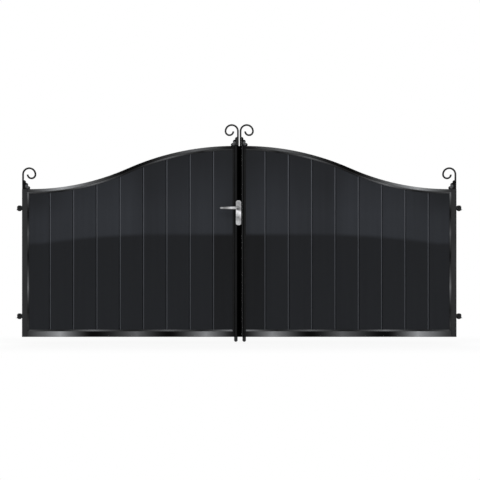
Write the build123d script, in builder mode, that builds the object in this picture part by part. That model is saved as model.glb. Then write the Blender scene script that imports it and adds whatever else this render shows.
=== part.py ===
"""Pair of bell-top swing driveway gates: box-section frames, boarded infill and scroll finials.

Millimetres. X runs along the opening, Y away from the viewer, Z up.
The origin is the middle of the weld face of the left lower hinge hook.
"""

import math
import os

from build123d import *

os.makedirs("parts", exist_ok=True)

# Opening and hanging
opening = 3017.0
post_gap = 43.5
pin_from_post = 26.0
lower_hinge_height = 129.8
upper_hinge_below_top = 138.7

# Leaf frames
frame_depth = 40.0
tube_wall = 3.0
tube_corner = 4.0
tube_inner_corner = 1.0
drain_radius = 4.0
hinge_stile_width = 36.0
bottom_rail_height = 38.0
top_rail_height = 20.0
top_rail_bevel = 3.0
side_height = 997.0
centre_height = 1288.3
bell_flat = 19.0
hinge_side_arc_share = 0.476

# Meeting of the leaves, measured from the middle of the opening
infill_edge_from_centre = 33.0
left_meeting_width = 20.0
right_meeting_width = 15.0
lock_stile_width = 25.0
over_sail_clearance = 5.0
seal_thickness = 8.0
seal_setback = 4.0
seal_clearance = 0.4

# Boarded infill
channel_sight = 11.0
channel_web = 2.0
channel_depth = 36.0
channel_bevel = 6.0
channel_seat = 0.2
board_thickness = 20.0
board_groove_fit = 0.2
board_end_fit = 0.5
board_cover = 157.3
board_first_joint = 177.0
board_count = 9
board_joint_gap = 0.6
board_bevel = 6.0
tongue_length = 6.0
tongue_thickness = 6.0
tongue_fit = 0.3

# Scroll finials
scroll_bar = 12.0
scroll_height = 147.0
scroll_radii = (41.5, 42.0, 26.5, 26.0)
weld_gap = 0.2
left_bar_from_centre = 3.0
right_bar_from_centre = 3.0
gusset_thickness = 10.0
lobe_thickness = 16.0
lobe_step = 2.5
lobe_centres = ((0.0, 47.0), (14.0, 28.0), (29.0, 8.0))
lobe_radii = (13.5, 14.5, 12.5)

# Hinges
pin_diameter = 16.0
pin_fit = 0.1
pin_below_eye_top = 1.0
pin_chamfer = 2.0
eye_diameter = 34.0
eye_height = 21.0
eye_bevel = 6.5
eye_stud_diameter = 16.0
eye_stud_fit = 0.2
eye_rest_clearance = 0.4
boss_height = 12.0
boss_bevel = 5.0
hook_neck_width = 26.0
hook_neck_height = 9.0

# Lock furniture
lock_plate_width = 36.0
lock_plate_height = 168.0
lock_plate_thickness = 8.0
lock_plate_corner = 14.0
lock_plate_bevel = 2.0
lock_plate_middle_below_spindle = 31.5
lock_plate_to_right_stile = 5.0
spindle_height = 869.0
spindle_diameter = 8.0
spindle_fit = 0.5
neck_diameter = 20.0
neck_fit = 0.3
neck_end_clearance = 1.0
lever_reach = 125.0
lever_root_height = 21.0
lever_tip_height = 13.0
lever_thickness = 12.0
lever_finger_gap = 40.0
lever_bevel = 3.0
cylinder_below_spindle = 62.0
cylinder_diameter = 17.0
cylinder_proud = 2.0
keyway_width = 2.0
keyway_length = 9.0
keyway_depth = 3.0

# Drop bolts
bolt_diameter = 24.0
bolt_fit = 0.3
bolt_frame_clearance = 5.0
left_bolt_from_centre = 23.0
right_bolt_from_centre = 33.5
bolt_below_leaf = 35.0
bolt_tip_bevel = 7.0
bolt_straight_top = 560.0
bolt_bend_radius = 30.0
bolt_handle_length = 60.0
bolt_handle_bevel = 4.0
collar_diameter = 29.6
collar_height = 12.0
collar_rest_clearance = 0.4
guide_wall = 3.0
guide_height = 30.0
guide_heights = (90.0, 380.0)

# Places worked out from the above
centre_x = opening / 2
leaf_bottom = -lower_hinge_height
hinge_spacing = side_height - upper_hinge_below_top - lower_hinge_height
half_depth = frame_depth / 2
eye_rise = boss_height / 2 + eye_rest_clearance + eye_height / 2
stile_outer = post_gap
stile_inner = post_gap + hinge_stile_width
infill_right = centre_x - infill_edge_from_centre
infill_bottom = leaf_bottom + bottom_rail_height
side_top = leaf_bottom + side_height
centre_top = leaf_bottom + centre_height
infill_width = infill_right - stile_inner
bell_start = stile_inner + bell_flat
bell_run = infill_right - bell_start
bell_rise = centre_height - side_height
bell_radii_sum = (bell_run**2 + bell_rise**2) / (bell_rise * 2)
hollow_radius = bell_radii_sum * hinge_side_arc_share
crown_radius = bell_radii_sum - hollow_radius
hollow_centre_z = side_top + hollow_radius
crown_centre_z = centre_top - crown_radius
bell_across = bell_run / bell_radii_sum
lock_stile_left = infill_right + left_meeting_width
lock_stile_right = lock_stile_left + lock_stile_width
right_meeting_left = centre_x + infill_edge_from_centre - right_meeting_width
centre_plane = Plane.YZ.offset(centre_x)
spindle_x = right_meeting_left - lock_plate_to_right_stile - lock_plate_width / 2
spindle_z = leaf_bottom + spindle_height


def bell_point(x, drop):
    """The point at x on the arcs that lie drop below the top edge of the left leaf."""
    turn = bell_start + (hollow_radius + drop) * bell_across
    if x <= turn:
        reach = math.sqrt((hollow_radius + drop) ** 2 - (x - bell_start) ** 2)
        return (x, hollow_centre_z - reach)
    reach = math.sqrt((crown_radius - drop) ** 2 - (infill_right - x) ** 2)
    return (x, crown_centre_z + reach)


def bell_curve(start, end, drop):
    """The level stretch by the hinge and the two tangent arcs of the bell, from x start to x end."""
    turn = bell_start + (hollow_radius + drop) * bell_across
    low = (start, side_top - drop)
    foot = (bell_start, side_top - drop)
    middle = bell_point(turn, drop)
    high = bell_point(end, drop)
    Line(low, foot)
    ThreePointArc(foot, bell_point((bell_start + turn) / 2, drop), middle)
    ThreePointArc(middle, bell_point((turn + end) / 2, drop), high)
    return low, high


def infill_face(inset):
    """Outline of the boarded opening of the left leaf, drawn in by inset on every side."""
    left = stile_inner + inset
    right = infill_right - inset
    with BuildLine() as loop:
        low, high = bell_curve(left, right, top_rail_height + inset)
        Polyline(low, (left, infill_bottom + inset), (right, infill_bottom + inset), high)
    make_face(loop.edges())


def upright(left, width, height):
    """A capped box-section upright standing from the bottom of the leaf, with a drain hole."""
    middle = left + width / 2
    with BuildSketch(Plane(origin=(middle, 0, leaf_bottom))) as shape:
        RectangleRounded(width, frame_depth, tube_corner)
    extrude(shape.sketch, amount=height)
    with BuildSketch(Plane(origin=(middle, 0, leaf_bottom + tube_wall))) as shape:
        RectangleRounded(width - tube_wall * 2, frame_depth - tube_wall * 2, tube_inner_corner)
    extrude(shape.sketch, amount=height - tube_wall * 2, mode=Mode.SUBTRACT)
    with BuildSketch(Plane(origin=(middle, 0, leaf_bottom))) as shape:
        Circle(drain_radius)
    extrude(shape.sketch, amount=tube_wall, mode=Mode.SUBTRACT)


def facing(x, y, z):
    """A plane whose normal points to the viewer, with local axes along X and Z."""
    return Plane(origin=(x, y, z), x_dir=(1, 0, 0), z_dir=(0, -1, 0))


def sideways(x, y, z):
    """A plane whose normal points along X, with local axes along Y and Z."""
    return Plane(origin=(x, y, z), x_dir=(0, 1, 0), z_dir=(1, 0, 0))


def scroll(left, base, way):
    """A square bar that rises from its foot and curls over in four tangent quarter turns."""
    first, second, third, fourth = scroll_radii
    x = left + scroll_bar / 2
    spring = base + scroll_height - scroll_bar / 2 - first
    top = (x + way * first, spring + first)
    side = (top[0] + way * second, top[1] - second)
    low = (side[0] - way * third, side[1] - third)
    tip = (low[0] - way * fourth, low[1] + fourth)
    with BuildLine(Plane.XZ) as path:
        Line((x, base), (x, spring))
        TangentArc((x, spring), top, tangent=(0, 1))
        TangentArc(top, side, tangent=(way, 0))
        TangentArc(side, low, tangent=(0, -1))
        TangentArc(low, tip, tangent=(-way, 0))
    with BuildSketch(Plane(origin=(x, 0, base))) as shape:
        Rectangle(scroll_bar, scroll_bar)
    sweep(shape.sketch, path=path.wires()[0])


def gusset(left, base, way):
    """A three-lobed cast gusset in the corner between a scroll bar and the frame."""
    with BuildSketch(facing(left, 0, base)) as shape:
        corner = [(way * across, up) for across, up in lobe_centres]
        foot = (way * (lobe_centres[-1][0] + lobe_radii[-1]), 0)
        Polygon((0, 0), corner[0], corner[1], corner[2], foot, align=None)
    extrude(shape.sketch, amount=gusset_thickness / 2, both=True)
    for (across, up), radius in zip(lobe_centres, lobe_radii):
        with BuildSketch(facing(left + way * across, 0, base + up)) as shape:
            Circle(radius)
        extrude(shape.sketch, amount=lobe_thickness / 2 - lobe_step, both=True)
        with BuildSketch(facing(left + way * across, 0, base + up)) as shape:
            Circle(radius - lobe_step)
        extrude(shape.sketch, amount=lobe_thickness / 2, both=True)
    reach = scroll_height * 2
    with BuildSketch(facing(left + way * reach / 2, 0, base + reach / 2)) as shape:
        Rectangle(reach, reach)
    extrude(shape.sketch, amount=frame_depth, both=True, mode=Mode.INTERSECT)


def hook(height):
    """The fixed half of a hinge: a boss with a neck to weld to the post, and an upright pin."""
    foot = height - boss_height / 2
    with BuildSketch(Plane(origin=(pin_from_post, 0, foot))) as shape:
        Circle(eye_diameter / 2)
    extrude(shape.sketch, amount=boss_height)
    chamfer(edges().sort_by(Axis.Z)[0], boss_bevel)
    with BuildSketch(sideways(0, 0, height)) as shape:
        Rectangle(hook_neck_width, hook_neck_height)
    extrude(shape.sketch, amount=pin_from_post)
    with BuildSketch(Plane(origin=(pin_from_post, 0, height))) as shape:
        Circle(pin_diameter / 2)
    extrude(shape.sketch, amount=eye_rise + eye_height / 2 - pin_below_eye_top)
    chamfer(faces().sort_by(Axis.Z)[-1].edges(), pin_chamfer)


def eye(height):
    """The eye bolt of a leaf: bored barrel over the hook's boss and a stud into the stile."""
    middle = height + eye_rise
    with BuildSketch(Plane(origin=(pin_from_post, 0, middle - eye_height / 2))) as shape:
        Circle(eye_diameter / 2)
    extrude(shape.sketch, amount=eye_height)
    chamfer(edges().sort_by(Axis.Z)[-1], eye_bevel)
    with BuildSketch(sideways(pin_from_post, 0, middle)) as shape:
        Circle(eye_stud_diameter / 2)
    extrude(shape.sketch, amount=stile_inner - tube_wall - pin_from_post)
    with BuildSketch(Plane(origin=(pin_from_post, 0, middle - eye_height / 2))) as shape:
        Circle(pin_diameter / 2 + pin_fit)
    extrude(shape.sketch, amount=eye_height, mode=Mode.SUBTRACT)


def lock_plate(face, way):
    """A round-cornered handle plate on one face of the lock stile; way is its outward Y sign."""
    middle = spindle_z - lock_plate_middle_below_spindle
    with BuildSketch(facing(spindle_x, face, middle)) as shape:
        RectangleRounded(lock_plate_width, lock_plate_height, lock_plate_corner)
    extrude(shape.sketch, amount=-way * lock_plate_thickness)
    outer = faces().sort_by(Axis.Y)[0 if way < 0 else -1]
    chamfer(outer.edges(), lock_plate_bevel)
    with BuildSketch(facing(spindle_x, face, spindle_z)) as shape:
        Circle(neck_diameter / 2 + neck_fit)
    extrude(shape.sketch, amount=-way * lock_plate_thickness, mode=Mode.SUBTRACT)
    with BuildSketch(facing(spindle_x, face, spindle_z - cylinder_below_spindle)) as shape:
        Circle(cylinder_diameter / 2 + neck_fit)
    extrude(shape.sketch, amount=-way * lock_plate_thickness, mode=Mode.SUBTRACT)


def lever(way):
    """A tapered lever on a round neck; way is its outward Y sign."""
    neck_start = way * (half_depth + neck_end_clearance)
    arm_back = way * (half_depth + lever_finger_gap)
    arm_middle = way * (half_depth + lever_finger_gap + lever_thickness / 2)
    root = lever_root_height / 2
    tip = lever_tip_height / 2
    with BuildSketch(facing(spindle_x, arm_middle, spindle_z)) as shape:
        Circle(root)
        Polygon((0, -root), (0, root), (tip - lever_reach, tip), (tip - lever_reach, -tip), align=None)
    extrude(shape.sketch, amount=lever_thickness / 2, both=True)
    with BuildSketch(facing(spindle_x + tip - lever_reach, arm_middle, spindle_z)) as shape:
        Circle(tip)
    extrude(shape.sketch, amount=lever_thickness / 2, both=True)
    flats = faces().filter_by(Axis.Y)
    chamfer(flats.edges(), lever_bevel)
    with BuildSketch(facing(spindle_x, neck_start, spindle_z)) as shape:
        Circle(neck_diameter / 2)
    extrude(shape.sketch, amount=neck_start - arm_middle)


def bolt_guides(x):
    """Two bored blocks on the back of a meeting stile that guide a drop bolt."""
    centre_y = half_depth + bolt_frame_clearance + bolt_diameter / 2
    side = bolt_diameter / 2 + bolt_fit + guide_wall
    depth = bolt_frame_clearance + bolt_diameter + bolt_fit + guide_wall
    for height in guide_heights:
        with BuildSketch(Plane(origin=(x, half_depth + depth / 2, leaf_bottom + height))) as shape:
            Rectangle(side * 2, depth)
        extrude(shape.sketch, amount=guide_height)
        with BuildSketch(Plane(origin=(x, centre_y, leaf_bottom + height))) as shape:
            Circle(bolt_diameter / 2 + bolt_fit)
        extrude(shape.sketch, amount=guide_height, mode=Mode.SUBTRACT)


def drop_bolt(x, way):
    """A round drop bolt with a stop collar and a cranked handle; way is the side it is cranked to."""
    y = half_depth + bolt_frame_clearance + bolt_diameter / 2
    low = leaf_bottom - bolt_below_leaf
    high = leaf_bottom + bolt_straight_top
    bend_x = x + way * bolt_bend_radius
    bend_z = high + bolt_bend_radius
    with BuildSketch(Plane(origin=(x, y, low))) as shape:
        Circle(bolt_diameter / 2)
    extrude(shape.sketch, amount=high - low)
    chamfer(edges().sort_by(Axis.Z)[0], bolt_tip_bevel)
    with BuildSketch(Plane(origin=(x, y, high))) as shape:
        Circle(bolt_diameter / 2)
    revolve(shape.sketch, axis=Axis((bend_x, y, high), (0, way, 0)), revolution_arc=90)
    with BuildSketch(sideways(bend_x, y, bend_z)) as shape:
        Circle(bolt_diameter / 2)
    extrude(shape.sketch, amount=way * bolt_handle_length)
    grip = faces().sort_by(Axis.X)[-1 if way > 0 else 0]
    chamfer(grip.edges(), bolt_handle_bevel)
    collar_foot = leaf_bottom + guide_heights[0] + guide_height + collar_rest_clearance
    with BuildSketch(Plane(origin=(x, y, collar_foot))) as shape:
        Circle(collar_diameter / 2)
    extrude(shape.sketch, amount=collar_height)


def save(piece, name):
    """Labels a finished piece and writes its file."""
    piece.part.label = name
    export_step(piece.part, f"parts/{name}.step")


# Frame of the left leaf; the pieces alike on both leaves are mirrored further down
with BuildPart() as left_hinge_stile:
    upright(stile_outer, hinge_stile_width, side_height)
    for height in (0, hinge_spacing):
        with BuildSketch(sideways(stile_outer, 0, height + eye_rise)):
            Circle(eye_stud_diameter / 2 + eye_stud_fit)
        extrude(amount=tube_wall, mode=Mode.SUBTRACT)

with BuildPart() as left_bottom_rail:
    with BuildSketch(sideways(stile_inner, 0, leaf_bottom + bottom_rail_height / 2)):
        RectangleRounded(frame_depth, bottom_rail_height, tube_corner)
        RectangleRounded(
            frame_depth - tube_wall * 2,
            bottom_rail_height - tube_wall * 2,
            tube_inner_corner,
            mode=Mode.SUBTRACT,
        )
    extrude(amount=infill_width)

with BuildPart() as left_top_rail:
    with BuildSketch(Plane.XZ):
        with BuildLine():
            low, high = bell_curve(stile_inner, infill_right, 0)
            under_low, under_high = bell_curve(stile_inner, infill_right, top_rail_height)
            Line(low, under_low)
            Line(high, under_high)
        make_face()
    extrude(amount=half_depth, both=True)
    long_edges = faces().filter_by(Axis.Y).edges().filter_by(Axis.Z, reverse=True)
    chamfer(long_edges, top_rail_bevel)
    with BuildSketch(Plane.XZ):
        with BuildLine():
            low, high = bell_curve(stile_inner, infill_right, tube_wall)
            under_low, under_high = bell_curve(stile_inner, infill_right, top_rail_height - tube_wall)
            Line(low, under_low)
            Line(high, under_high)
        make_face()
    extrude(amount=half_depth - tube_wall, both=True, mode=Mode.SUBTRACT)

with BuildPart() as left_board_channel:
    with BuildSketch(Plane.XZ):
        infill_face(channel_seat)
    extrude(amount=channel_depth / 2, both=True)
    with BuildSketch(Plane.XZ):
        infill_face(channel_sight)
    extrude(amount=channel_depth / 2, both=True, mode=Mode.SUBTRACT)
    for flat in faces().filter_by(Axis.Y):
        chamfer(flat.inner_wires()[0].edges(), channel_bevel)
    with BuildSketch(Plane.XZ):
        infill_face(channel_web)
    extrude(amount=board_thickness / 2 + board_groove_fit, both=True, mode=Mode.SUBTRACT)

with BuildPart() as left_boards:
    half_board = board_thickness / 2
    half_tongue = tongue_thickness / 2
    half_slot = half_tongue + tongue_fit
    slot_depth = tongue_length + tongue_fit
    joints = [centre_x - board_first_joint - board_cover * step for step in range(board_count - 1)]
    joints.reverse()
    for index in range(board_count):
        first = index == 0
        last = index == board_count - 1
        west = stile_inner if first else joints[index - 1] + board_joint_gap / 2
        east = infill_right if last else joints[index] - board_joint_gap / 2
        outline = []
        if first:
            outline += [(west, half_board), (west, -half_board)]
        else:
            outline += [(west + board_bevel, half_board), (west, half_board - board_bevel)]
            outline += [(west, half_slot), (west + slot_depth, half_slot)]
            outline += [(west + slot_depth, -half_slot), (west, -half_slot)]
            outline += [(west, board_bevel - half_board), (west + board_bevel, -half_board)]
        if last:
            outline += [(east, -half_board), (east, half_board)]
        else:
            outline += [(east - board_bevel, -half_board), (east, board_bevel - half_board)]
            outline += [(east, -half_tongue), (east + tongue_length, -half_tongue)]
            outline += [(east + tongue_length, half_tongue), (east, half_tongue)]
            outline += [(east, half_board - board_bevel), (east - board_bevel, half_board)]
        with BuildSketch(Plane(origin=(0, 0, infill_bottom))):
            Polygon(*outline, align=None)
        extrude(amount=centre_height)
    with BuildSketch(Plane.XZ):
        infill_face(channel_web + board_end_fit)
    extrude(amount=frame_depth, both=True, mode=Mode.INTERSECT)

with BuildPart() as left_hinge_scroll:
    scroll(stile_outer, side_top + weld_gap, 1)

with BuildPart() as left_hinge_gusset:
    gusset(stile_outer + scroll_bar + weld_gap, side_top + weld_gap, 1)

with BuildPart() as left_upper_eye:
    eye(hinge_spacing)

with BuildPart() as left_lower_eye:
    eye(0)

with BuildPart() as left_upper_hook:
    hook(hinge_spacing)

with BuildPart() as left_lower_hook:
    hook(0)

alike = {
    "hinge_stile": left_hinge_stile,
    "bottom_rail": left_bottom_rail,
    "top_rail": left_top_rail,
    "board_channel": left_board_channel,
    "boards": left_boards,
    "hinge_scroll": left_hinge_scroll,
    "hinge_gusset": left_hinge_gusset,
    "upper_eye": left_upper_eye,
    "lower_eye": left_lower_eye,
    "upper_hook": left_upper_hook,
    "lower_hook": left_lower_hook,
}
for kind, piece in alike.items():
    save(piece, f"left_{kind}")
    with BuildPart() as twin:
        mirror(piece.part, about=centre_plane)
    save(twin, f"right_{kind}")

# Where the leaves meet: the left leaf carries the lock stile and the seal
with BuildPart() as left_meeting_stile:
    upright(infill_right, left_meeting_width, centre_height)
save(left_meeting_stile, "left_meeting_stile")

with BuildPart() as right_meeting_stile:
    upright(right_meeting_left, right_meeting_width, centre_height)
save(right_meeting_stile, "right_meeting_stile")

with BuildPart() as lock_stile:
    upright(lock_stile_left, lock_stile_width, centre_height - over_sail_clearance)
    with BuildSketch(facing(spindle_x, 0, spindle_z)):
        Circle(spindle_diameter / 2 + spindle_fit)
    extrude(amount=half_depth, both=True, mode=Mode.SUBTRACT)
save(lock_stile, "lock_stile")

with BuildPart() as meeting_seal:
    seal_width = right_meeting_left - seal_clearance - lock_stile_right
    seal_front = seal_setback - half_depth
    seal_top = leaf_bottom + centre_height - over_sail_clearance
    seal_middle = (lock_stile_right + seal_width / 2, seal_front + seal_thickness / 2, leaf_bottom)
    with BuildSketch(Plane(origin=seal_middle)):
        Rectangle(seal_width, seal_thickness)
    extrude(amount=centre_height - over_sail_clearance)
    cap_width = lock_stile_width + seal_width
    with BuildSketch(Plane(origin=(lock_stile_left + cap_width / 2, 0, seal_top))):
        Rectangle(cap_width, frame_depth - seal_setback * 2)
    extrude(amount=over_sail_clearance - seal_clearance)
save(meeting_seal, "meeting_seal")

with BuildPart() as left_meeting_scroll:
    scroll(centre_x - left_bar_from_centre - scroll_bar, centre_top + weld_gap, -1)
save(left_meeting_scroll, "left_meeting_scroll")

with BuildPart() as left_meeting_gusset:
    gusset(centre_x - left_bar_from_centre - scroll_bar - weld_gap, centre_top + weld_gap, -1)
save(left_meeting_gusset, "left_meeting_gusset")

with BuildPart() as right_meeting_scroll:
    scroll(centre_x + right_bar_from_centre, centre_top + weld_gap, 1)
save(right_meeting_scroll, "right_meeting_scroll")

with BuildPart() as right_meeting_gusset:
    gusset(centre_x + right_bar_from_centre + scroll_bar + weld_gap, centre_top + weld_gap, 1)
save(right_meeting_gusset, "right_meeting_gusset")

# Lock furniture on both faces of the lock stile
with BuildPart() as front_lock_plate:
    lock_plate(-half_depth, -1)
save(front_lock_plate, "front_lock_plate")

with BuildPart() as rear_lock_plate:
    lock_plate(half_depth, 1)
save(rear_lock_plate, "rear_lock_plate")

with BuildPart() as key_cylinders:
    for way in (-1, 1):
        face = way * half_depth
        reach = way * (lock_plate_thickness + cylinder_proud)
        with BuildSketch(facing(spindle_x, face, spindle_z - cylinder_below_spindle)):
            Circle(cylinder_diameter / 2)
        extrude(amount=-reach)
        with BuildSketch(facing(spindle_x, face + reach, spindle_z - cylinder_below_spindle)):
            Rectangle(keyway_width, keyway_length)
        extrude(amount=way * keyway_depth, mode=Mode.SUBTRACT)
save(key_cylinders, "key_cylinders")

with BuildPart() as front_lever:
    lever(-1)
save(front_lever, "front_lever")

with BuildPart() as rear_lever:
    lever(1)
save(rear_lever, "rear_lever")

with BuildPart() as spindle:
    with BuildSketch(facing(spindle_x, 0, spindle_z)):
        Circle(spindle_diameter / 2)
    extrude(amount=half_depth + neck_end_clearance, both=True)
save(spindle, "spindle")

# Drop bolts on the backs of the meeting stiles
with BuildPart() as left_bolt_guides:
    bolt_guides(centre_x - left_bolt_from_centre)
save(left_bolt_guides, "left_bolt_guides")

with BuildPart() as right_bolt_guides:
    bolt_guides(centre_x + right_bolt_from_centre)
save(right_bolt_guides, "right_bolt_guides")

with BuildPart() as left_drop_bolt:
    drop_bolt(centre_x - left_bolt_from_centre, -1)
save(left_drop_bolt, "left_drop_bolt")

with BuildPart() as right_drop_bolt:
    drop_bolt(centre_x + right_bolt_from_centre, 1)
save(right_drop_bolt, "right_drop_bolt")
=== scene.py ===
"""Looks of the bell-top driveway gates: paint, boards, metal, small fixings, studio and camera."""

import math

import bpy
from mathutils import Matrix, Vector


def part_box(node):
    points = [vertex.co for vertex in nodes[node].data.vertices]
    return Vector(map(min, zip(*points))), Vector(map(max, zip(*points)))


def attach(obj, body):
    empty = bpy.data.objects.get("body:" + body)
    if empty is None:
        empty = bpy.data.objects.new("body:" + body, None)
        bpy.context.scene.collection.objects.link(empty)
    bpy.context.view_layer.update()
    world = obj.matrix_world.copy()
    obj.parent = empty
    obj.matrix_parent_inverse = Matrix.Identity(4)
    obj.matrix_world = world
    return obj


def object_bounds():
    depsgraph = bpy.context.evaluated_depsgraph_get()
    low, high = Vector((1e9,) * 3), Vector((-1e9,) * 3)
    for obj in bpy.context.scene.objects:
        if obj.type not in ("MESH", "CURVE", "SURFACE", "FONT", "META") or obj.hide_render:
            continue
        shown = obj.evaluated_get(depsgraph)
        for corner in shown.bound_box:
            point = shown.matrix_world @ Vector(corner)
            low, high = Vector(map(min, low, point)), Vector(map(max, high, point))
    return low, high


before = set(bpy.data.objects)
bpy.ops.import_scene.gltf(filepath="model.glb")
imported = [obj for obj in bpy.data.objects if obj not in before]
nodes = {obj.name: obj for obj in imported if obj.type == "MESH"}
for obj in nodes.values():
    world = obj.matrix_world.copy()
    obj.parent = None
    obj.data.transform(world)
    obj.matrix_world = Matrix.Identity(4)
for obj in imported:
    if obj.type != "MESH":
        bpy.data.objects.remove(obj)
size_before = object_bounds()
SIDES = ("left", "right")
LEVELS = ("lower", "upper")

# Places on the gates, in metres, read from the frame
CENTRE_X = (size_before[0].x + size_before[1].x) / 2
LEAF_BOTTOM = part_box("left_hinge_stile")[0][2]
STILE_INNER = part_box("left_hinge_stile")[1][0]
STILE_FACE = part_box("left_hinge_stile")[0][0]
FRAME_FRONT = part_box("left_hinge_stile")[0][1]
RAIL_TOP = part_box("left_bottom_rail")[1][2]
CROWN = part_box("left_meeting_stile")[1][2]
SIDE_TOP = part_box("left_hinge_stile")[1][2]
MEETING_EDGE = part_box("right_meeting_stile")[0][0] - CENTRE_X
SPINDLE = [(low + high) / 2 for low, high in zip(*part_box("spindle"))]
KEY_HEIGHT = sum(corner[2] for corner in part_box("key_cylinders")) / 2
PAINT_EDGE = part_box("left_lower_eye")[0][0]
EYE_HEIGHTS = [sum(c[2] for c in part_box(f"left_{level}_eye")) / 2 for level in LEVELS]

# Sizes that the frame's boxes don't give: the board channel's width in sight, the hinge eyes'
# radius, and how far the first board joint is from the middle
CHANNEL_SIGHT = 0.011
EYE_RADIUS = 0.017
MEETING_JOINT = 0.177
PIN_FROM_POST = PAINT_EDGE + EYE_RADIUS
# Where the lighter upper field of the boards' painted reflection ends
HORIZON = LEAF_BOTTOM + 0.687

# An 8-bit display: its white, and the power that turns its greys into light
DISPLAY_WHITE = 255.0
DISPLAY_GAMMA = 2.2


class Graph:
    """A small helper for building one material's node tree."""

    def __init__(self, name):
        self.material = bpy.data.materials.new(name)
        self.material.use_nodes = True
        self.tree = self.material.node_tree
        self.tree.nodes.clear()
        self.output = self.tree.nodes.new("ShaderNodeOutputMaterial")
        self.shader = self.tree.nodes.new("ShaderNodeBsdfPrincipled")
        self.tree.links.new(self.shader.outputs[0], self.output.inputs[0])
        coords = self.tree.nodes.new("ShaderNodeTexCoord")
        self.object = coords.outputs["Object"]
        split = self.tree.nodes.new("ShaderNodeSeparateXYZ")
        self.tree.links.new(self.object, split.inputs[0])
        self.x, self.y, self.z = split.outputs

    def put(self, socket, value):
        """Links a socket to a socket, or sets a number or a colour on it."""
        if isinstance(value, bpy.types.NodeSocket):
            self.tree.links.new(value, socket)
        elif isinstance(value, tuple) and len(value) == 3 and len(socket.default_value) == 4:
            socket.default_value = (*value, 1.0)
        else:
            socket.default_value = value

    def math(self, operation, first, second=None, third=None):
        node = self.tree.nodes.new("ShaderNodeMath")
        node.operation = operation
        for place, value in enumerate((first, second, third)):
            if value is not None:
                self.put(node.inputs[place], value)
        return node.outputs[0]

    def ramp(self, value, low, high, to_low=0.0, to_high=1.0, kind="SMOOTHSTEP"):
        """A soft step from one number to another while value goes from low to high."""
        node = self.tree.nodes.new("ShaderNodeMapRange")
        node.interpolation_type = kind
        self.put(node.inputs["Value"], value)
        self.put(node.inputs["From Min"], low)
        self.put(node.inputs["From Max"], high)
        self.put(node.inputs["To Min"], to_low)
        self.put(node.inputs["To Max"], to_high)
        return node.outputs["Result"]

    def line(self, value, low, high, to_low=0.0, to_high=1.0):
        """A ramp in a straight line."""
        return self.ramp(value, low, high, to_low, to_high, "LINEAR")

    def spread(self, noise, to_low, to_high, reach=0.2):
        """The middle part of a noise, in a straight line from one number to another."""
        return self.line(noise, 0.5 - reach, 0.5 + reach, to_low, to_high)

    def peaks(self, value, base, highlights):
        """Greys along value: a base, and peaks that fade in a straight line to both sides."""
        total = base
        for place, before, after, peak in highlights:
            rise = self.line(value, place - before, place, 0.0, peak)
            fall = self.line(value, place, place + after, peak, 0.0)
            total = self.math("ADD", total, self.math("MINIMUM", rise, fall))
        return total

    def glints(self, value, base, highlights):
        """The linear value of the display greys that peaks() gives."""
        share = self.math("DIVIDE", self.peaks(value, base, highlights), DISPLAY_WHITE)
        return self.math("POWER", share, DISPLAY_GAMMA)

    def mix(self, factor, first, second):
        """A colour between two."""
        node = self.tree.nodes.new("ShaderNodeMix")
        node.data_type = "RGBA"
        self.put(node.inputs[0], factor)
        self.put(node.inputs[6], first)
        self.put(node.inputs[7], second)
        return node.outputs[2]

    def blend(self, factor, first, second):
        """A number between two."""
        node = self.tree.nodes.new("ShaderNodeMix")
        self.put(node.inputs[0], factor)
        self.put(node.inputs[2], first)
        self.put(node.inputs[3], second)
        return node.outputs[0]

    def tint(self, level, tints):
        """A colour of that level, each channel times its tint."""
        node = self.tree.nodes.new("ShaderNodeCombineColor")
        for place, share in enumerate(tints):
            self.put(node.inputs[place], self.math("MULTIPLY", level, share))
        return node.outputs[0]

    def noise(self, scale, detail, stretch=None):
        node = self.tree.nodes.new("ShaderNodeTexNoise")
        node.inputs["Scale"].default_value = scale
        node.inputs["Detail"].default_value = detail
        source = self.object
        if stretch:
            mapping = self.tree.nodes.new("ShaderNodeMapping")
            self.tree.links.new(self.object, mapping.inputs["Vector"])
            mapping.inputs["Scale"].default_value = stretch
            source = mapping.outputs[0]
        self.tree.links.new(source, node.inputs["Vector"])
        return node.outputs["Fac"]

    def edges(self, radius):
        """1 on sharp edges, 0 on flats."""
        rounded = self.tree.nodes.new("ShaderNodeBevel")
        rounded.samples = 4
        rounded.inputs["Radius"].default_value = radius
        flat = self.tree.nodes.new("ShaderNodeNewGeometry")
        dot = self.tree.nodes.new("ShaderNodeVectorMath")
        dot.operation = "DOT_PRODUCT"
        self.tree.links.new(rounded.outputs[0], dot.inputs[0])
        self.tree.links.new(flat.outputs["Normal"], dot.inputs[1])
        return self.ramp(dot.outputs["Value"], 0.99, 0.80)

    def normal(self):
        """The X, Y and Z of the surface's own direction in the object's frame."""
        geometry = self.tree.nodes.new("ShaderNodeNewGeometry")
        turn = self.tree.nodes.new("ShaderNodeVectorTransform")
        turn.vector_type = "NORMAL"
        turn.convert_from = "WORLD"
        turn.convert_to = "OBJECT"
        self.tree.links.new(geometry.outputs["Normal"], turn.inputs[0])
        split = self.tree.nodes.new("ShaderNodeSeparateXYZ")
        self.tree.links.new(turn.outputs[0], split.inputs[0])
        return split.outputs

    def bump(self, height, strength, distance):
        node = self.tree.nodes.new("ShaderNodeBump")
        node.inputs["Strength"].default_value = strength
        node.inputs["Distance"].default_value = distance
        self.tree.links.new(height, node.inputs["Height"])
        self.put(self.shader.inputs["Normal"], node.outputs[0])

    def set(self, **values):
        """Sets the shader's sockets, and gives the finished material."""
        for name, value in values.items():
            self.put(self.shader.inputs[name.replace("_", " ")], value)
        return self.material


def from_centre(g):
    """Distance from the middle of the pair, the same on both leaves."""
    return g.math("ABSOLUTE", g.math("SUBTRACT", g.x, CENTRE_X))


def from_post(g):
    """Distance from the nearer post, the same on both leaves."""
    return g.math("SUBTRACT", CENTRE_X, from_centre(g))


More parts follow.
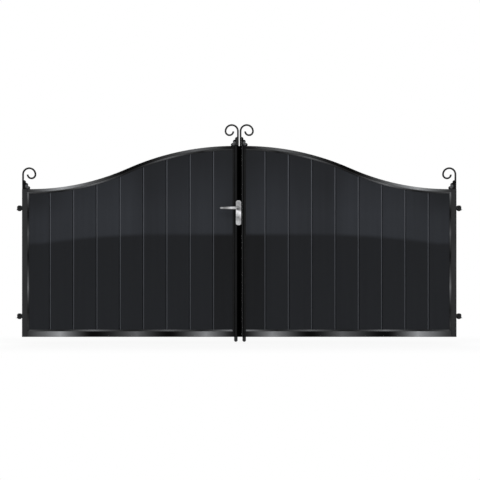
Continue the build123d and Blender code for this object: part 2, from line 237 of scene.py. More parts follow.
def above_foot(g):
    """Height above the foot of the leaves."""
    return g.math("SUBTRACT", g.z, LEAF_BOTTOM)


def away_from(g, x, z):
    """Distance from a point of the front, seen square on."""
    across = g.math("POWER", g.math("ABSOLUTE", g.math("SUBTRACT", g.x, x)), 2.0)
    up = g.math("POWER", g.math("ABSOLUTE", g.math("SUBTRACT", g.z, z)), 2.0)
    return g.math("SQRT", g.math("ADD", across, up))


# Noises, as (scale, detail) and, for drawn-out ones, the stretch along X, Y and Z
MOTTLE = (7.0, 5.0)
CHIPS = (45.0, 3.0)
DULL_PATCHES = (18.0, 4.0)
ORANGE_PEEL = (260.0, 2.0)
SAND_CASTING = (90.0, 4.0)
BOARD_GRAIN = (3.0, 6.0, (14.0, 14.0, 0.6))
BOARD_DULL = (30.0, 4.0, (8.0, 8.0, 0.5))
BOARD_RIPPLE = (60.0, 3.0, (10.0, 10.0, 0.4))
BRUSH_LINES = (6.0, 6.0, (120.0, 120.0, 3.0))
STEEL_CLOUD = (70.0, 4.0)
ZINC_SPANGLE = (160.0, 3.0)
RUBBER_BLOOM = (50.0, 5.0)
RUBBER_DULL = (90.0, 3.0)
RUBBER_GRAIN = (300.0, 2.0)
FLOOR_GRAIN = (4.0, 3.0)

# Tints of the red, green and blue of a level, and plain colours
PAINT_TINT = (1.0, 1.02, 1.05)
BOARD_TINT = (1.0, 1.10, 1.32)
BEVEL_TINT = (1.0, 1.06, 1.19)
STEEL_TINT = (1.0, 1.0, 1.02)
ZINC_TINT = (1.0, 1.0, 1.01)
FLOOR_TINT = (1.0, 1.0, 1.0)
WORN_EDGE = (0.085, 0.085, 0.09)
BRIGHT_EDGE = (0.72, 0.72, 0.74)
RUBBER_BLACK = (0.0012, 0.0012, 0.0013)
RUBBER_DUST = (0.004, 0.004, 0.004)

# Bumps, as (strength, distance)
PEEL_BUMP = (0.05, 0.0008)
CAST_BUMP = (0.35, 0.001)
BOARD_BUMP = (0.04, 0.001)
STEEL_BUMP = (0.08, 0.0006)
ZINC_BUMP = (0.1, 0.0006)
RUBBER_BUMP = (0.1, 0.0008)

# How far wear reaches in from the edges of paint and of steel
PAINT_WEAR = 0.0016
STEEL_WEAR = 0.0012

# Display greys of the paints
GREYS = {
    # Painted shade on the bell's upper edge, and on the bead under the crown and by the meeting
    "bell_edge": 22.0,
    "bead_under_crown": 50.0,
    "bead_by_meeting": 29.0,
    "stile": 45.0,
    "meeting_stile": 19.0,
    # Near-black, also standing in for the shade of the meeting gap
    "strip": 3.0,
    # Painted shade and painted light on the gussets
    "gusset": 16.0,
    "gusset_lit": 80.0,
    "eye": 28.0,
    # Painted light on the eyes where they face the stile
    "eye_by_stile": 82.0,
    # Painted shade at the scrolls' foot
    "scroll_foot": 18.0,
    "scroll": 40.0,
    "hardware": 34.0,
    "hook_dark": 31.0,
    "hook_light": 37.0,
    "bolt": 60.0,
}


def grey(name):
    """The linear value of one of the display greys."""
    return (GREYS[name] / DISPLAY_WHITE) ** DISPLAY_GAMMA


def chips(g, worn):
    """Chipped spots along the edges of the paint."""
    spots = g.math("MULTIPLY", g.edges(PAINT_WEAR), g.ramp(g.noise(*CHIPS), 0.5, 0.72))
    return g.math("MULTIPLY", spots, worn)


def painted(name, light, shine=0.05, rough=0.25, cast=0.0, worn=0.35):
    """Black paint: light is its level with any painted light and shade, a number or a function of
    the graph.
    """
    g = Graph(name)
    level = light(g) if callable(light) else light
    mottle = g.spread(g.noise(*MOTTLE), 0.90, 1.08)
    base = g.tint(g.math("MULTIPLY", level, mottle), PAINT_TINT)
    base = g.mix(chips(g, worn), base, WORN_EDGE)
    roughness = g.spread(g.noise(*DULL_PATCHES), rough * 0.85, rough * 1.2)
    orange_peel = g.noise(*ORANGE_PEEL)
    if cast:
        casting = g.math("MULTIPLY", g.noise(*SAND_CASTING), cast)
        g.bump(g.math("ADD", orange_peel, casting), *CAST_BUMP)
    else:
        g.bump(orange_peel, *PEEL_BUMP)
    return g.set(Base_Color=base, Roughness=roughness, Specular_IOR_Level=shine)


# Painted reflections: soft light stretches painted along the gloss paint, as (place, reach before,
# reach after, peak grey), and the greys between them
RAIL_GLINTS = (
    (0.222, 0.2195, 0.254, 131.0),
    (0.693, 0.219, 0.292, 89.0),
    (1.206, 0.217, 0.342, 142.0),
)
BELL_GLINTS = ((0.292, 0.5, 0.44, 83.0), (1.194, 0.45, 0.35, 136.0))
BEAD_BASE = 32.0
BEAD_GLINTS = (
    (0.058, 0.12, 0.20, 72.0),
    (0.475, 0.22, 0.22, 56.0),
    (0.985, 0.22, 0.22, 70.0),
    (1.41, 0.2, 0.1, 34.0),
)
UPRIGHT_BASE = 22.0
UPRIGHT_GLINTS = (
    (0.08, 0.12, 0.14, 30.0),
    (0.335, 0.16, 0.2, 78.0),
    (0.7, 0.15, 0.12, 56.0),
    (0.962, 0.12, 0.1, 70.0),
)
MEETING_GLINTS = ((-0.0225, 0.012, 0.012, 36.0), (MEETING_EDGE, 0.001, 0.013, 52.0))
# How soon the bead's uprights take over from its level runs
BEAD_FADE = 0.002

# Where the painted light and shade change, as (from, to): across from the middle of the pair, or
# up, on the scrolls from their foot
BELL_EDGE_ACROSS = (0.17, 0.05)
BELL_EDGE_UP = (CROWN - 0.024, CROWN - 0.016)
UNDER_CROWN_ACROSS = (0.24, 0.14)
UNDER_CROWN_UP = (CROWN - 0.06, CROWN - 0.04)
OUTER_SCROLLS_ACROSS = (0.7, 0.8)
SCROLL_UP = (0.045, 0.068)
# The same out from a lobe's middle plane, from the painted light on a gusset, and from a post
LOBE_OUT = (0.0052, 0.0078)
GUSSET_LIGHT_OUT = (0.018, 0.010)
EYE_FROM_POST = (0.034, 0.042)


def rail_light(g):
    """Painted reflections along the bottom rail's gloss paint."""
    return g.glints(from_centre(g), 0.0, RAIL_GLINTS)


def bell_light(g):
    """Painted reflections along the bell's gloss paint, with painted shade on its upper edge at
    the crown.
    """
    far = from_centre(g)
    upper_edge = g.ramp(g.z, *BELL_EDGE_UP)
    dark = g.math("MULTIPLY", g.ramp(far, *BELL_EDGE_ACROSS), upper_edge)
    return g.blend(dark, g.glints(far, 0.0, BELL_GLINTS), grey("bell_edge"))


def bead_light(g):
    """The bead round the boards: painted reflections by the rails and the hinge stile, painted
    shade under the crown and by the meeting.
    """
    far = from_centre(g)
    along = g.glints(far, BEAD_BASE, BEAD_GLINTS)
    up = g.glints(above_foot(g), UPRIGHT_BASE, UPRIGHT_GLINTS)
    hinge_bead = CENTRE_X - STILE_INNER - CHANNEL_SIGHT
    level = g.blend(g.line(far, hinge_bead - BEAD_FADE, hinge_bead), along, up)
    under_crown = g.ramp(g.z, *UNDER_CROWN_UP)
    under_crown = g.math("MULTIPLY", g.ramp(far, *UNDER_CROWN_ACROSS), under_crown)
    level = g.blend(under_crown, level, grey("bead_under_crown"))
    meeting_bead = CENTRE_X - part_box("left_board_channel")[1][0] + CHANNEL_SIGHT
    at_meeting = g.line(far, meeting_bead, meeting_bead + BEAD_FADE, 1.0, 0.0)
    return g.blend(at_meeting, level, grey("bead_by_meeting"))


def meeting_light(g):
    """Dark meeting stiles with a thin painted highlight line, on the right one along its inner
    edge.
    """
    across = g.math("SUBTRACT", g.x, CENTRE_X)
    return g.math("ADD", g.glints(across, 0.0, MEETING_GLINTS), grey("meeting_stile"))


def gusset_light(x, z):
    """Painted light on the middle of the lobes, and painted shade by the scroll's bar and at the
    foot.
    """

    def light(g):
        lobe = g.ramp(g.math("ABSOLUTE", g.y), *LOBE_OUT, 0.65, 1.0)
        middle = g.ramp(away_from(g, x, z), *GUSSET_LIGHT_OUT)
        return g.blend(g.math("MULTIPLY", lobe, middle), grey("gusset"), grey("gusset_lit"))

    return light


def eye_light(g):
    """Dark eyes, with painted light where they face the stile."""
    return g.ramp(from_post(g), *EYE_FROM_POST, grey("eye"), grey("eye_by_stile"))


def scroll_light(g):
    """Painted shade at the foot, between the gussets, and lighter from there up."""
    foot = g.blend(g.ramp(from_centre(g), *OUTER_SCROLLS_ACROSS), CROWN, SIDE_TOP)
    height = g.math("SUBTRACT", g.z, foot)
    return g.ramp(height, *SCROLL_UP, grey("scroll_foot"), grey("scroll"))


# The boards' painted light: painted reflection streaks across the upper field in steps of grey,
# less an even dip; the levels of both fields of the painted reflection; and the levels of the lit
# and shaded bevels painted at the joints
BOARD_GLINTS = ((0.19, 0.25, 0.4, 4.0), (0.74, 0.12, 0.9, 5.0))
BOARD_DIP = 2.5
GREY_STEP = 0.0012
CORNER_DIP = -4.0 * GREY_STEP
UPPER_FIELD = (0.0080, 0.0168)
LOWER_FIELD = (0.0066, 0.0096)
MEETING_BOARD_DIP = 0.0034
HORIZON_SAG = 0.062
LIT_BEVEL = (0.062, 0.077)
DARK_BEVEL = 0.75
BEVEL_LEAN = (0.35, 0.6)
# Where the boards' painted light and shade change: across from the middle of the pair, up from the
# foot of the leaves, and at the horizon along Z
UPPER_FIELD_UP = (1.21, 0.83)
STREAKS_UP = (1.2, 0.98)
CORNER_ACROSS = (1.12, 1.36)
CORNER_UP = (0.74, 0.93)
SAG_ACROSS = (0.5, 1.34)
HORIZON_UP = (HORIZON - 0.012, HORIZON + 0.022)
MEETING_BOARD_ACROSS = (MEETING_JOINT, MEETING_JOINT + 0.004)


def upper_field(g, far, height):
    """The lighter field of the painted reflection: it fades to the crown, with painted shade in
    the outer upper corners.
    """
    level = g.line(height, *UPPER_FIELD_UP, *UPPER_FIELD)
    streaks = g.math("SUBTRACT", g.peaks(far, 0.0, BOARD_GLINTS), BOARD_DIP)
    streaks = g.math("MULTIPLY", streaks, g.ramp(height, *STREAKS_UP, 0.3, 1.0))
    level = g.math("MULTIPLY_ADD", streaks, GREY_STEP, level)
    corner = g.math("MULTIPLY", g.ramp(far, *CORNER_ACROSS), g.ramp(height, *CORNER_UP))
    return g.math("MULTIPLY_ADD", corner, CORNER_DIP, level)


def lower_field(g, far):
    """The darker field of the painted reflection: lighter to the foot, and darkest on the boards
    by the meeting.
    """
    level = g.line(g.z, HORIZON, RAIL_TOP, *LOWER_FIELD)
    dip = g.ramp(far, *MEETING_BOARD_ACROSS, MEETING_BOARD_DIP, 0.0)
    return g.math("SUBTRACT", level, dip)


def board_paint():
    """Satin coated boards with painted light: a lighter upper field and a darker lower one as a
    painted reflection, and lit and shaded bevels painted at the joints.
    """
    g = Graph("satin_board_painted_light")
    far = from_centre(g)
    sag = g.math("POWER", g.line(far, *SAG_ACROSS), 2.0)
    level_line = g.math("ADD", g.z, g.math("MULTIPLY", sag, HORIZON_SAG))
    above = g.ramp(level_line, *HORIZON_UP)
    level = g.blend(above, lower_field(g, far), upper_field(g, far, above_foot(g)))
    side = g.math("SIGN", g.math("SUBTRACT", g.x, CENTRE_X))
    outward = g.math("MULTIPLY", g.normal()[0], side)
    lit = g.ramp(outward, *BEVEL_LEAN)
    level = g.blend(lit, level, g.blend(above, *LIT_BEVEL))
    dark = g.ramp(outward, *(-lean for lean in BEVEL_LEAN))
    level = g.blend(dark, level, g.math("MULTIPLY", level, DARK_BEVEL))
    grain = g.spread(g.noise(*BOARD_GRAIN), 0.93, 1.07, 0.25)
    level = g.math("MULTIPLY", level, grain)
    colour = g.mix(lit, g.tint(level, BOARD_TINT), g.tint(level, BEVEL_TINT))
    rough = g.spread(g.noise(*BOARD_DULL), 0.36, 0.46)
    g.bump(g.noise(*BOARD_RIPPLE), *BOARD_BUMP)
    return g.set(Base_Color=colour, Roughness=rough, Specular_IOR_Level=0.1)


# Painted highlights on the brushed steel, from the spindle: on the plates by height, with a slant,
# and on the levers along them
PLATE_BASE = 147.0
PLATE_GLINTS = (
    (-0.108, 0.02, 0.032, 48.0),
    (-0.023, 0.045, 0.016, 101.0),
    (0.018, 0.01, 0.01, 14.0),
    (0.046, 0.014, 0.02, 12.0),
)
PLATE_SLANT = 0.5
LEVER_BASE = 128.0
LEVER_GLINTS = ((-0.112, 0.018, 0.014, 34.0), (-0.045, 0.042, 0.04, 84.0))
# How far a lever's middle line is over the spindle; where its edges take painted shade, out from
# that line; and the painted shade spots at the keyhole and in the hollow by the spindle, out from
# their middles
LEVER_RISE = 0.001
LEVER_EDGE_OUT = (0.0062, 0.0092)
KEYHOLE_OUT = (0.003, 0.009)
HOLLOW_OUT = (0.003, 0.010)
HOLLOW_X = SPINDLE[0] - 0.005
HOLLOW_Z = SPINDLE[2] - 0.0055


def brushed_steel(name, tone):
    """Satin stainless steel, brushed along Z, with bright edges; tone gives its level, with
    painted light and shade.
    """
    g = Graph(name)
    lines = g.noise(*BRUSH_LINES)
    cloud = g.spread(g.noise(*STEEL_CLOUD), 0.78, 1.12)
    brushing = g.spread(lines, 0.9, 1.08)
    level = g.math("MULTIPLY", g.math("MULTIPLY", tone(g), cloud), brushing)
    worn = g.math("MULTIPLY", g.edges(STEEL_WEAR), 0.4)
    base = g.mix(worn, g.tint(level, STEEL_TINT), BRIGHT_EDGE)
    rough = g.spread(lines, 0.28, 0.42)
    g.bump(lines, *STEEL_BUMP)
    return g.set(Base_Color=base, Metallic=1.0, Roughness=rough)


def spindle_shade(g):
    """Painted shade in the hollow under and beside the spindle."""
    return g.ramp(away_from(g, HOLLOW_X, HOLLOW_Z), *HOLLOW_OUT, 0.45, 1.0)


def plate_tone(g):
    """Painted light and shade, slanted, on a lock plate, and darker round the key cylinder, partly
    the cylinder's own darker steel and partly painted shade.
    """
    across = g.math("SUBTRACT", g.x, SPINDLE[0])
    height = g.math("SUBTRACT", g.z, SPINDLE[2])
    slanted = g.math("MULTIPLY_ADD", across, PLATE_SLANT, height)
    level = g.glints(slanted, PLATE_BASE, PLATE_GLINTS)
    keyhole = g.ramp(away_from(g, SPINDLE[0], KEY_HEIGHT), *KEYHOLE_OUT, 0.58, 1.0)
    return g.math("MULTIPLY", g.math("MULTIPLY", level, keyhole), spindle_shade(g))


def lever_tone(g):
    """Painted light and dark along a lever, and painted shade on its upper and lower edges."""
    along = g.glints(g.math("SUBTRACT", g.x, SPINDLE[0]), LEVER_BASE, LEVER_GLINTS)
    from_middle = g.math("ABSOLUTE", g.math("SUBTRACT", g.z, SPINDLE[2] + LEVER_RISE))
    along = g.math("MULTIPLY", along, g.ramp(from_middle, *LEVER_EDGE_OUT, 1.0, 0.35))
    return g.math("MULTIPLY", along, spindle_shade(g))


# How soon the hooks' paint gives way to bare zinc
ZINC_FADE = 0.0006


def hook_finish():
    """Black paint on the boss and pin, and bright zinc on the weld end by the post."""
    g = Graph("hook_paint_and_zinc")
    spangle = g.noise(*ZINC_SPANGLE)
    mottle = g.spread(g.noise(*MOTTLE), grey("hook_dark"), grey("hook_light"))
    zinc = g.spread(spangle, 0.70, 0.92, 0.15)
    bare = g.ramp(from_post(g), PAINT_EDGE, PAINT_EDGE - ZINC_FADE)
    paint = g.mix(chips(g, 0.35), g.tint(mottle, PAINT_TINT), WORN_EDGE)
    base = g.mix(bare, paint, g.tint(zinc, ZINC_TINT))
    rough = g.spread(spangle, 0.32, 0.44)
    g.bump(spangle, *ZINC_BUMP)
    return g.set(Base_Color=base, Metallic=bare, Roughness=rough, Specular_IOR_Level=0.08)


def dull_rubber():
    """Matt black rubber with a dusty bloom."""
    g = Graph("seal_rubber")
    bloom = g.math("MULTIPLY", g.ramp(g.noise(*RUBBER_BLOOM), 0.4, 0.75), 0.3)
    base = g.mix(bloom, RUBBER_BLACK, RUBBER_DUST)
    rough = g.spread(g.noise(*RUBBER_DULL), 0.75, 0.9)
    g.bump(g.noise(*RUBBER_GRAIN), *RUBBER_BUMP)
    return g.set(Base_Color=base, Roughness=rough, Specular_IOR_Level=0.0)


# Semi-gloss paint on small hardware
SEMI_GLOSS = {"shine": 0.08, "rough": 0.35, "cast": 0.4}

# Near-black matt paint for the lock stile's strip, whose near-black also stands in for the shade
# of the meeting gap, and for the joint strips of painted shade
strip_and_shade_paint = painted("matt_black_strip_and_painted_shade", grey("strip"), 0.0, 0.6)
eye_paint = painted("black_eye_painted_light", eye_light, **SEMI_GLOSS)
hardware_paint = painted("black_hardware", grey("hardware"), **SEMI_GLOSS)
hook_paint = hook_finish()
plate_steel = brushed_steel("satin_plate_steel_painted_light", plate_tone)
lever_steel = brushed_steel("satin_lever_steel_painted_light", lever_tone)
seal_rubber = dull_rubber()

# Materials by the end of a node's name
PAINTS = {
    "bottom_rail": painted("gloss_black_rail_painted_reflections", rail_light),
    "top_rail": painted("gloss_black_bell_painted_light", bell_light),
    "board_channel": painted("gloss_black_bead_painted_light", bead_light),
    "hinge_stile": painted("gloss_black_stile", grey("stile")),
    "meeting_stile": painted("satin_black_meeting_painted_highlight", meeting_light, 0.0, 0.4, worn=0.015),
    "lock_stile": strip_and_shade_paint,
    "scroll": painted("gloss_black_scroll", scroll_light, 0.08, 0.32, 0.6),
    "boards": board_paint(),
    "eye": eye_paint,
    "hook": hook_paint,
    "drop_bolt": painted("black_bolt", grey("bolt"), **SEMI_GLOSS),
    "bolt_guides": hardware_paint,
    "lock_plate": plate_steel,
    "key_cylinders": plate_steel,
    "lever": lever_steel,
    "spindle": lever_steel,
    "meeting_seal": seal_rubber,
}
# The painted light on a gusset, from its corner by the bar and the rail
LIT_ACROSS = 0.0225
LIT_UP = 0.018
BAR_NEARBY = 0.02
for gusset in [name for name in nodes if name.endswith("gusset")]:
    low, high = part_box(gusset)
    bar_on_left = abs(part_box(gusset.replace("gusset", "scroll"))[0][0] - low[0]) < BAR_NEARBY
    lit_x = low[0] + LIT_ACROSS if bar_on_left else high[0] - LIT_ACROSS
    light = gusset_light(lit_x, low[2] + LIT_UP)
    PAINTS[gusset] = painted(f"cast_black_painted_light_{gusset}", light, 0.05, 0.4, 1.0)

# Widths of the softened edges, by the end of a node's name
SOFT_EDGES = {
    "scroll": 0.0015,
    "eye": 0.0015,
    "lever": 0.0012,
    "lock_plate": 0.0008,
    "gusset": 0.0008,
    "hinge_stile": 0.0005,
}
SAME_POINT = 0.00001
FLAT_ANGLE = math.radians(0.3)
SOFTENED_ANGLE = math.radians(28.0)
SHARP_ANGLE = math.radians(45.0)


def dress(obj, material):
    obj.data.materials.clear()
    obj.data.materials.append(material)


def soften(obj, width):
    """Rounds the sharp edges of a piece a little and evens its shading."""
    weld = obj.modifiers.new("weld", "WELD")
    weld.merge_threshold = SAME_POINT
    flats = obj.modifiers.new("whole_flats", "DECIMATE")
    flats.decimate_type = "DISSOLVE"
    flats.angle_limit = FLAT_ANGLE
    bevel = obj.modifiers.new("soft_edges", "BEVEL")
    bevel.width = width
    bevel.segments = 2
    bevel.limit_method = "ANGLE"
    bevel.angle_limit = SOFTENED_ANGLE
    bevel.loop_slide = False
    even = obj.modifiers.new("even_shading", "WEIGHTED_NORMAL")
    even.weight = 100


for name, obj in nodes.items():
    kinds = [kind for kind in PAINTS if name.endswith(kind)]
    dress(obj, PAINTS[max(kinds, key=len)])
    for kind, width in SOFT_EDGES.items():
        if name.endswith(kind):
            soften(obj, width)


# Small fixings
def piece(name, vertices, faces, body, slot, material):
    """A new mesh piece that moves with a body of the frame."""
    mesh = bpy.data.meshes.new(name)
    mesh.from_pydata(vertices, [], faces)
    mesh.validate()
    mesh.shade_smooth()
    mesh.set_sharp_from_angle(angle=SHARP_ANGLE)
    obj = bpy.data.objects.new(name, mesh)
    bpy.context.scene.collection.objects.link(obj)
    dress(obj, material)
    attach(obj, body)


def rings(loops, close_ends=True):
    """Faces between loops of vertices of equal length, and caps on the first and last."""
    count = len(loops[0])
    vertices = [v for loop in loops for v in loop]
    faces = []
    for row in range(len(loops) - 1):
        for step in range(count):
            a = row * count + step
            b = row * count + (step + 1) % count
            faces.append((a, b, b + count, a + count))
    if close_ends:
        faces.append(tuple(reversed(range(count))))
        faces.append(tuple(range((len(loops) - 1) * count, len(loops) * count)))
    return vertices, faces


def turns(count):
    """The angles of that many even steps round a circle."""
    return [math.tau * step / count for step in range(count)]


# A plate screw's loops, as (radius, how proud); None is the six-sided socket
SCREW_PROFILE = (
    (0.0045, 0.0),
    (0.0043, 0.0004),
    (0.0034, 0.0006),
    (None, 0.0006),
    (None, -0.0012),
)
SOCKET_FLAT = 0.0019
SCREW_INSET = 0.013
# A weld bead's middle radius and thickness, its ripples and how much they swell
WELD_RADIUS = 0.0093
WELD_THICK = 0.0016
WELD_RIPPLES = 24
WELD_SWELL = 0.16
# The caps' radius and rise
EYE_CAP = (0.0105, 0.0015)
HOOK_BUTTON = (0.012, -0.0045)


def socket_reach(turn):
    """Distance from the middle of a six-sided socket to its wall."""
    sector = (turn + math.pi / 6) % (math.pi / 3) - math.pi / 6
    return SOCKET_FLAT / math.cos(sector)


def socket_screw(name, place, way):
    """A countersunk screw with a six-sided socket, in a plate that faces along Y."""
    x, y, z = place
    loops = []
    for radius, proud in SCREW_PROFILE:
        loop = []
        for turn in turns(36):
            reach = socket_reach(turn) if radius is None else radius
            loop.append((x + reach * math.cos(turn), y + way * proud, z + reach * math.sin(turn)))
        loops.append(loop if way < 0 else loop[::-1])
    piece(name, *rings(loops), "left_leaf", "satin_steel", plate_steel)


def weld_ring(name, place, body, away):
    """A rippled weld bead round a stud that enters a stile along X."""
    x, y, z = place
    loops = []
    for turn in turns(96):
        swell = WELD_THICK * (1.0 + WELD_SWELL * math.sin(turn * WELD_RIPPLES))
        loop = []
        for lean in turns(10):
            out = WELD_RADIUS + swell * math.cos(lean)
            side = away * swell * math.sin(lean)
            loop.append((x + side, y + out * math.cos(turn), z + out * math.sin(turn)))
        loops.append(loop)
    loops.append(loops[0])
    piece(name, *rings(loops, False), body, "black_hardware", hardware_paint)


def dome(name, middle, radius, rise, body, material):
    """A low round cap on a level face: up with a positive rise, down with a negative one."""
    x, y, z = middle
    steps = 8
    loops = []
    for step in range(steps):
        lean = math.pi / 2 * step / steps
        reach, height = radius * math.cos(lean), z + rise * math.sin(lean)
        loop = [(x + reach * math.cos(t), y + reach * math.sin(t), height) for t in turns(48)]
        loops.append(loop if rise > 0 else loop[::-1])
    piece(name, *rings(loops), body, "black_hardware", material)


def hinge_domes():
    """Round off each hinge: a cap over the eye's bore and a button under the hook's boss."""
    for side in SIDES:
        x = PIN_FROM_POST if side == "left" else CENTRE_X * 2 - PIN_FROM_POST
        for level in LEVELS:
            top = (x, 0.0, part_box(f"{side}_{level}_eye")[1][2])
            dome(f"{side}_{level}_eye_cap", top, *EYE_CAP, f"{side}_leaf", eye_paint)
            foot = (x, 0.0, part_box(f"{side}_{level}_hook")[0][2])
            dome(f"{side}_{level}_hook_button", foot, *HOOK_BUTTON, "hinge_hooks", hook_paint)


def plate_screws():
    """Two screws in each lock plate."""
    for face, way in (("front", -1), ("rear", 1)):
        low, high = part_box(f"{face}_lock_plate")
        outer = low[1] if way < 0 else high[1]
        middle = (low[0] + high[0]) / 2
        for end, z in (("top", high[2] - SCREW_INSET), ("bottom", low[2] + SCREW_INSET)):
            socket_screw(f"{face}_{end}_plate_screw", (middle, outer, z), way)


def eye_welds():
    """A weld bead where each eye's stud enters its stile."""
    right_face = CENTRE_X * 2 - STILE_FACE
    for level, z in zip(LEVELS, EYE_HEIGHTS):
        weld_ring(f"left_{level}_eye_weld", (STILE_FACE, 0.0, z), "left_leaf", -1)
        weld_ring(f"right_{level}_eye_weld", (right_face, 0.0, z), "right_leaf", 1)


# Air left between a lip and what it closes on, where a lip starts in the seal, and the lips'
# outlines: side lip by depth from the seal's back, top lip by half width
LIP_AIR = 0.00003
SIDE_LIP_ROOT = 0.004
SIDE_LIP_DEPTHS = (0.008, 0.005, 0.004, 0.002)
TOP_LIP_ROOT = 0.0005
TOP_LIP_HALVES = (0.006, 0.001)


def seal_lips():
    """The seal's soft lips, which close on the right meeting stile and under the right scroll."""
    seal_low, seal_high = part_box("meeting_seal")
    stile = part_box("right_meeting_stile")[0][0]
    scroll_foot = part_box("right_meeting_scroll")[0][2]
    root, edge = seal_high[0] - SIDE_LIP_ROOT, stile - LIP_AIR
    depths = [seal_high[1] - depth for depth in SIDE_LIP_DEPTHS]
    outline = tuple(zip((root, edge, edge, root), depths))
    loops = [[(x, y, z) for x, y in outline] for z in (seal_low[2], seal_high[2])]
    piece("seal_side_lip", *rings(loops), "left_leaf", "seal_rubber", seal_rubber)
    root, edge = seal_high[2] - TOP_LIP_ROOT, scroll_foot - LIP_AIR
    wide, narrow = TOP_LIP_HALVES
    ridge = ((-wide, root), (-narrow, edge), (narrow, edge), (wide, root))
    loops = [[(x, y, z) for y, z in ridge] for x in (seal_low[0] + TOP_LIP_ROOT, seal_high[0])]
    piece("seal_top_lip", *rings(loops), "left_leaf", "seal_rubber", seal_rubber)


# The painted shade strip's front, its back, how far it ends under the crown, and its lap on both
# neighbours
SHADE_STRIP_FRONT = -0.012
SHADE_STRIP_BACK = -0.010
SHADE_STRIP_END = 0.015
SHADE_STRIP_LAP = 0.0001


def joint_shade_strips():
    """A thin near-black strip of painted shade in the fine joint between each meeting stile and
    its board channel.
    """
    for side, stile_end, channel_end in (("left", 0, 1), ("right", 1, 0)):
        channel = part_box(f"{side}_board_channel")
        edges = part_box(f"{side}_meeting_stile")[stile_end][0], channel[channel_end][0]
        west, east = min(edges) - SHADE_STRIP_LAP, max(edges) + SHADE_STRIP_LAP
        front = (west, SHADE_STRIP_FRONT), (east, SHADE_STRIP_FRONT)
        outline = (*front, (east, SHADE_STRIP_BACK), (west, SHADE_STRIP_BACK))
        ends = (channel[0][2], CROWN - SHADE_STRIP_END)
        loops = [[(x, y, z) for x, y in outline] for z in ends]
        body = f"{side}_leaf"
        piece(f"{side}_joint_shade_strip", *rings(loops), body, "matt_black_frame", strip_and_shade_paint)


hinge_domes()
plate_screws()
eye_welds()
seal_lips()
joint_shade_strips()

# Studio: a pale floor under the drop bolts, which is plain white away from the gates; a white
# surround; and soft lights, as (name, size, place from the middle of the pair, watts)
FLOOR = LEAF_BOTTOM - 0.050
FLOOR_REACH = 60.0
FLOOR_WHITE = (0.86, 1.0)
FADE_ACROSS = (1.4, 2.4)
FADE_DEEP = (0.5, 1.6)
WHITE = (1.0, 1.0, 1.0, 1.0)
SOFT_WHITE = (0.98, 0.99, 1.0, 1.0)
SOFT_STRENGTH = 0.55
LIGHTS = (
    ("key", (5.0, 2.0), (0.0, -3.4, 3.6), 110.0),
    ("left_fill", (2.0, 2.6), (-4.2, -2.4, 1.3), 45.0),
    ("right_fill", (2.0, 2.6), (4.2, -2.4, 1.3), 45.0),
    ("back", (5.0, 2.0), (0.0, 3.4, 3.6), 110.0),
)
LIGHT_AIM = Vector((CENTRE_X, 0.0, LEAF_BOTTOM + 0.65))


def soft_light(name, size, place, watts):
    """A soft rectangular light that the camera doesn't see."""
    light = bpy.data.lights.new(name, "AREA")
    light.shape = "RECTANGLE"
    light.size, light.size_y = size
    light.energy = watts
    obj = bpy.data.objects.new(name, light)
    bpy.context.scene.collection.objects.link(obj)
    obj.location = Vector((CENTRE_X, 0.0, 0.0)) + Vector(place)
    obj.rotation_euler = (LIGHT_AIM - obj.location).to_track_quat("-Z", "Y").to_euler()
    obj.visible_camera = False


def seen_directly(tree):
    """1 for rays that show the surround itself: from the camera, in gloss and through glass."""
    path = tree.nodes.new("ShaderNodeLightPath")
    seen = path.outputs["Is Camera Ray"]
    for kind in ("Is Glossy Ray", "Is Transmission Ray"):
        either = tree.nodes.new("ShaderNodeMath")
        either.operation = "MAXIMUM"
        tree.links.new(seen, either.inputs[0])
        tree.links.new(path.outputs[kind], either.inputs[1])
        seen = either.outputs[0]
    return seen


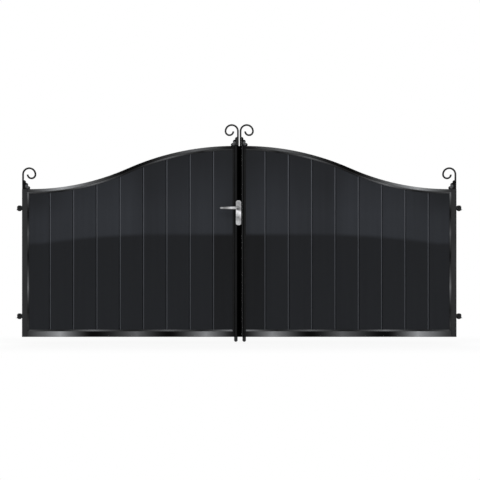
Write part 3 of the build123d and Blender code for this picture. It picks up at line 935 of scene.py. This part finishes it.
def floor():
    """A pale floor that keeps the gates' shadow."""
    mesh = bpy.data.meshes.new("floor")
    corners = ((-1, -1), (1, -1), (1, 1), (-1, 1))
    corners = [(x * FLOOR_REACH, y * FLOOR_REACH, FLOOR) for x, y in corners]
    mesh.from_pydata(corners, [], [(0, 1, 2, 3)])
    plane = bpy.data.objects.new("floor", mesh)
    bpy.context.scene.collection.objects.link(plane)
    g = Graph("pale_floor")
    glow = g.tree.nodes.new("ShaderNodeEmission")
    glow.inputs["Color"].default_value = WHITE
    blend = g.tree.nodes.new("ShaderNodeMixShader")
    across = g.ramp(from_centre(g), *FADE_ACROSS)
    deep = g.ramp(g.math("ABSOLUTE", g.y), *FADE_DEEP)
    share = g.blend(g.math("MAXIMUM", across, deep), *FLOOR_WHITE)
    g.put(blend.inputs[0], g.math("MULTIPLY", share, seen_directly(g.tree)))
    g.tree.links.new(g.shader.outputs[0], blend.inputs[1])
    g.tree.links.new(glow.outputs[0], blend.inputs[2])
    g.tree.links.new(blend.outputs[0], g.output.inputs[0])
    grain = g.spread(g.noise(*FLOOR_GRAIN), 0.79, 0.82)
    g.set(Base_Color=g.tint(grain, FLOOR_TINT), Roughness=0.9, Specular_IOR_Level=0.0)
    mesh.materials.append(g.material)


def surround():
    """Soft light from all round, behind a white that is only seen."""
    world = bpy.data.worlds.new("surround")
    bpy.context.scene.world = world
    world.use_nodes = True
    tree = world.node_tree
    tree.nodes.clear()
    out = tree.nodes.new("ShaderNodeOutputWorld")
    blend = tree.nodes.new("ShaderNodeMixShader")
    tree.links.new(seen_directly(tree), blend.inputs[0])
    for place, colour, strength in ((1, SOFT_WHITE, SOFT_STRENGTH), (2, WHITE, 1.0)):
        shade = tree.nodes.new("ShaderNodeBackground")
        shade.inputs["Color"].default_value = colour
        shade.inputs["Strength"].default_value = strength
        tree.links.new(shade.outputs[0], blend.inputs[place])
    tree.links.new(blend.outputs[0], out.inputs[0])


floor()
surround()
for row in LIGHTS:
    soft_light(*row)


# Camera square on to the gates, as in the photograph
DISTANCE = 16.0
VIEW_WIDTH = 3.2358
AIM = Vector((CENTRE_X + 0.0051, 0.0, LEAF_BOTTOM + 0.6536))
lens = bpy.data.cameras.new("camera")
lens.sensor_width = 36.0
lens.lens = lens.sensor_width * (DISTANCE + FRAME_FRONT) / VIEW_WIDTH
camera = bpy.data.objects.new("camera", lens)
bpy.context.scene.collection.objects.link(camera)
camera.location = AIM + Vector((0.0, -DISTANCE, 0.0))
camera.rotation_euler = (math.radians(90.0), 0.0, 0.0)
bpy.context.scene.camera = camera
bpy.context.scene.view_settings.view_transform = "Standard"
